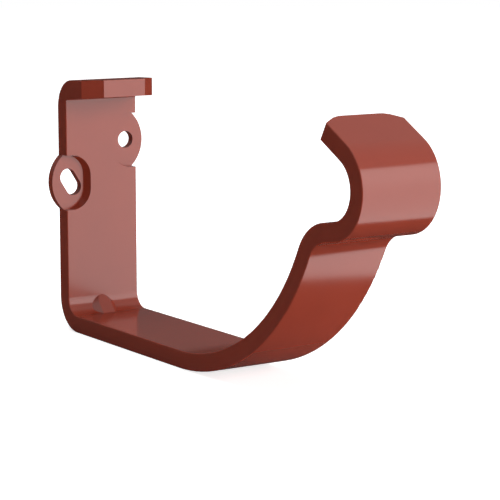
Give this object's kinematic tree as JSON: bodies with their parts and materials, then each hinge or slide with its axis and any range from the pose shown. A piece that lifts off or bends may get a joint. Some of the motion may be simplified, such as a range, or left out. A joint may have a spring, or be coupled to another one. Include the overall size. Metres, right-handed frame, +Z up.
{
  "type": "gutter bracket",
  "caption": "Folded flat-bar bracket that carries a moulded rain gutter on a wall or fascia, with a hook around the gutter's bead and two pressed screw ears.",
  "frame": {"origin": "on the back face that meets the wall, in the middle of the bar's width, at the height midway between the two screw ears", "axes": "+X away from the wall towards the hook, +Y along the gutter, +Z up"},
  "size_m": [0.1571, 0.0322, 0.0789],
  "materials": {
    "powder_coat": "smooth brick-red powder coat, semi-gloss"
  },
  "bodies": {
    "root": {"gutter_bracket": "powder_coat"}
  },
  "joints": []
}
